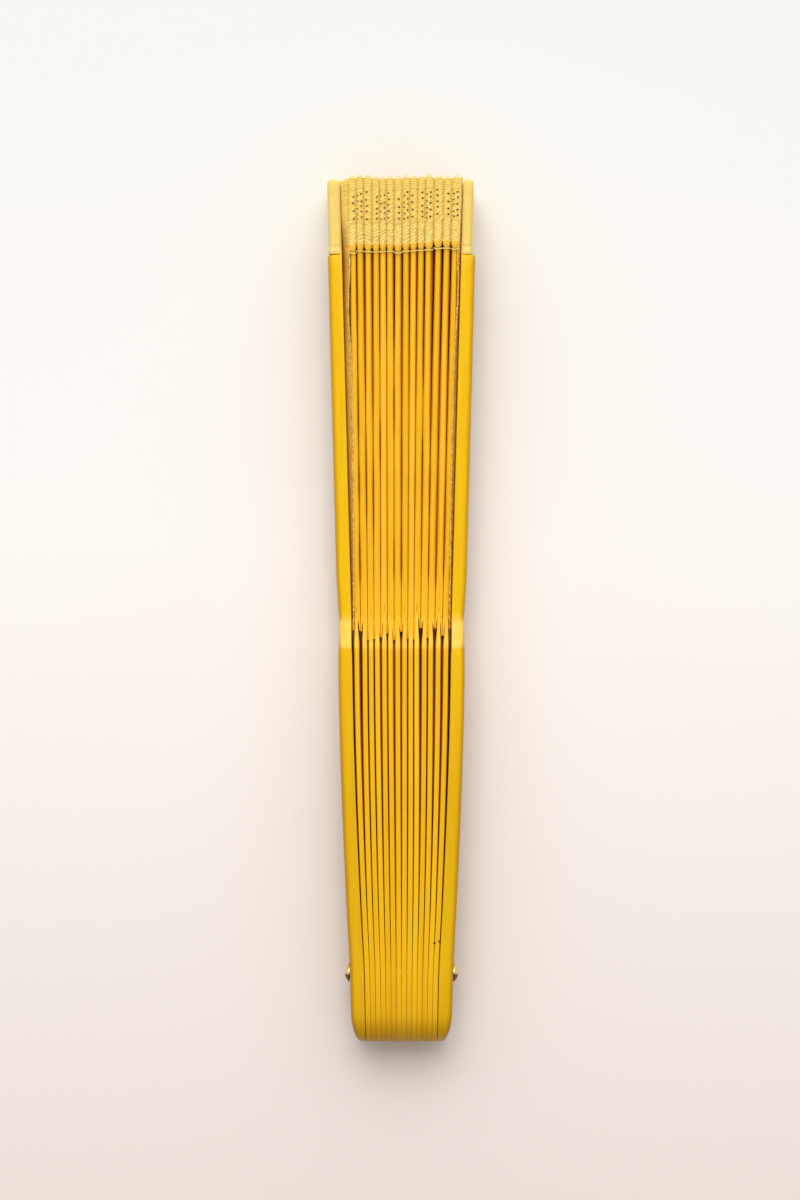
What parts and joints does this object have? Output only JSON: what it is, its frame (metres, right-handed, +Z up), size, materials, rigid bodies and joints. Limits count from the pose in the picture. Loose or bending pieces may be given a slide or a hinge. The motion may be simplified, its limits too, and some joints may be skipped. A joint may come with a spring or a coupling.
{
  "type": "folding hand fan",
  "caption": "Folding hand fan, closed: thin wooden ribs between two thick guards on one rivet, with a pleated cloth leaf, a lace border and cloth blocks over the guard tips.",
  "frame": {"origin": "under the middle of the closed fan's box, on the surface that it lies on", "axes": "+X along the rivet, from the left guard to the right guard; +Y along the sticks, from the rivet to their tips; +Z up, away from the surface"},
  "size_m": [0.0398, 0.23, 0.022],
  "materials": {
    "guard_lacquer": "yellow lacquer over fine straight grain, satin",
    "rib_wood": "yellow stained wood, satin",
    "leaf_cloth": "thin woven yellow cloth, matt",
    "border_lace": "cream yellow lace with fine holes, matt",
    "rivet_brass": "polished"
  },
  "bodies": {
    "left_guard": {"left_guard": "guard_lacquer", "rivet_pin": "rivet_brass", "rivet_cap": "rivet_brass", "leaf_end_left": "leaf_cloth", "border_end_left": "border_lace", "guard_block_left": "border_lace"},
    "rib_01": {"rib_01": "rib_wood", "leaf_fold_01": "leaf_cloth", "border_fold_01": "border_lace"},
    "rib_02": {"rib_02": "rib_wood", "leaf_fold_02": "leaf_cloth", "border_fold_02": "border_lace"},
    "rib_03": {"rib_03": "rib_wood", "leaf_fold_03": "leaf_cloth", "border_fold_03": "border_lace"},
    "rib_04": {"rib_04": "rib_wood", "leaf_fold_04": "leaf_cloth", "border_fold_04": "border_lace"},
    "rib_05": {"rib_05": "rib_wood", "leaf_fold_05": "leaf_cloth", "border_fold_05": "border_lace"},
    "rib_06": {"rib_06": "rib_wood", "leaf_fold_06": "leaf_cloth", "border_fold_06": "border_lace"},
    "rib_07": {"rib_07": "rib_wood", "leaf_fold_07": "leaf_cloth", "border_fold_07": "border_lace"},
    "rib_08": {"rib_08": "rib_wood", "leaf_fold_08": "leaf_cloth", "border_fold_08": "border_lace"},
    "rib_09": {"rib_09": "rib_wood", "leaf_fold_09": "leaf_cloth", "border_fold_09": "border_lace"},
    "rib_10": {"rib_10": "rib_wood", "leaf_fold_10": "leaf_cloth", "border_fold_10": "border_lace"},
    "rib_11": {"rib_11": "rib_wood", "leaf_fold_11": "leaf_cloth", "border_fold_11": "border_lace"},
    "rib_12": {"rib_12": "rib_wood", "leaf_fold_12": "leaf_cloth", "border_fold_12": "border_lace"},
    "rib_13": {"rib_13": "rib_wood", "leaf_fold_13": "leaf_cloth", "border_fold_13": "border_lace"},
    "rib_14": {"rib_14": "rib_wood", "leaf_fold_14": "leaf_cloth", "border_fold_14": "border_lace"},
    "right_guard": {"right_guard": "guard_lacquer", "leaf_end_right": "leaf_cloth", "border_end_right": "border_lace", "guard_block_right": "border_lace"}
  },
  "joints": [
    {"name": "rib_01_turn", "type": "hinge", "parent": "left_guard", "child": "rib_01", "pos_m": [0, -0.0967, 0.011], "axis": [1, 0, 0], "range_deg": [0, 11.5]},
    {"name": "rib_02_turn", "type": "hinge", "parent": "rib_01", "child": "rib_02", "pos_m": [0, -0.0967, 0.011], "axis": [1, 0, 0], "range_deg": [0, 11.5]},
    {"name": "rib_03_turn", "type": "hinge", "parent": "rib_02", "child": "rib_03", "pos_m": [0, -0.0967, 0.011], "axis": [1, 0, 0], "range_deg": [0, 11.5]},
    {"name": "rib_04_turn", "type": "hinge", "parent": "rib_03", "child": "rib_04", "pos_m": [0, -0.0967, 0.011], "axis": [1, 0, 0], "range_deg": [0, 11.5]},
    {"name": "rib_05_turn", "type": "hinge", "parent": "rib_04", "child": "rib_05", "pos_m": [0, -0.0967, 0.011], "axis": [1, 0, 0], "range_deg": [0, 11.5]},
    {"name": "rib_06_turn", "type": "hinge", "parent": "rib_05", "child": "rib_06", "pos_m": [0, -0.0967, 0.011], "axis": [1, 0, 0], "range_deg": [0, 11.5]},
    {"name": "rib_07_turn", "type": "hinge", "parent": "rib_06", "child": "rib_07", "pos_m": [0, -0.0967, 0.011], "axis": [1, 0, 0], "range_deg": [0, 11.5]},
    {"name": "rib_08_turn", "type": "hinge", "parent": "rib_07", "child": "rib_08", "pos_m": [0, -0.0967, 0.011], "axis": [1, 0, 0], "range_deg": [0, 11.5]},
    {"name": "rib_09_turn", "type": "hinge", "parent": "rib_08", "child": "rib_09", "pos_m": [0, -0.0967, 0.011], "axis": [1, 0, 0], "range_deg": [0, 11.5]},
    {"name": "rib_10_turn", "type": "hinge", "parent": "rib_09", "child": "rib_10", "pos_m": [0, -0.0967, 0.011], "axis": [1, 0, 0], "range_deg": [0, 11.5]},
    {"name": "rib_11_turn", "type": "hinge", "parent": "rib_10", "child": "rib_11", "pos_m": [0, -0.0967, 0.011], "axis": [1, 0, 0], "range_deg": [0, 11.5]},
    {"name": "rib_12_turn", "type": "hinge", "parent": "rib_11", "child": "rib_12", "pos_m": [0, -0.0967, 0.011], "axis": [1, 0, 0], "range_deg": [0, 11.5]},
    {"name": "rib_13_turn", "type": "hinge", "parent": "rib_12", "child": "rib_13", "pos_m": [0, -0.0967, 0.011], "axis": [1, 0, 0], "range_deg": [0, 11.5]},
    {"name": "rib_14_turn", "type": "hinge", "parent": "rib_13", "child": "rib_14", "pos_m": [0, -0.0967, 0.011], "axis": [1, 0, 0], "range_deg": [0, 11.5]},
    {"name": "right_guard_turn", "type": "hinge", "parent": "rib_14", "child": "right_guard", "pos_m": [0, -0.0967, 0.011], "axis": [1, 0, 0], "range_deg": [0, 11.5]}
  ],
  "couplings": [
    {"joint": "rib_02_turn", "follows": "rib_01_turn", "ratio": 1},
    {"joint": "rib_03_turn", "follows": "rib_01_turn", "ratio": 1},
    {"joint": "rib_04_turn", "follows": "rib_01_turn", "ratio": 1},
    {"joint": "rib_05_turn", "follows": "rib_01_turn", "ratio": 1},
    {"joint": "rib_06_turn", "follows": "rib_01_turn", "ratio": 1},
    {"joint": "rib_07_turn", "follows": "rib_01_turn", "ratio": 1},
    {"joint": "rib_08_turn", "follows": "rib_01_turn", "ratio": 1},
    {"joint": "rib_09_turn", "follows": "rib_01_turn", "ratio": 1},
    {"joint": "rib_10_turn", "follows": "rib_01_turn", "ratio": 1},
    {"joint": "rib_11_turn", "follows": "rib_01_turn", "ratio": 1},
    {"joint": "rib_12_turn", "follows": "rib_01_turn", "ratio": 1},
    {"joint": "rib_13_turn", "follows": "rib_01_turn", "ratio": 1},
    {"joint": "rib_14_turn", "follows": "rib_01_turn", "ratio": 1},
    {"joint": "right_guard_turn", "follows": "rib_01_turn", "ratio": 1}
  ]
}
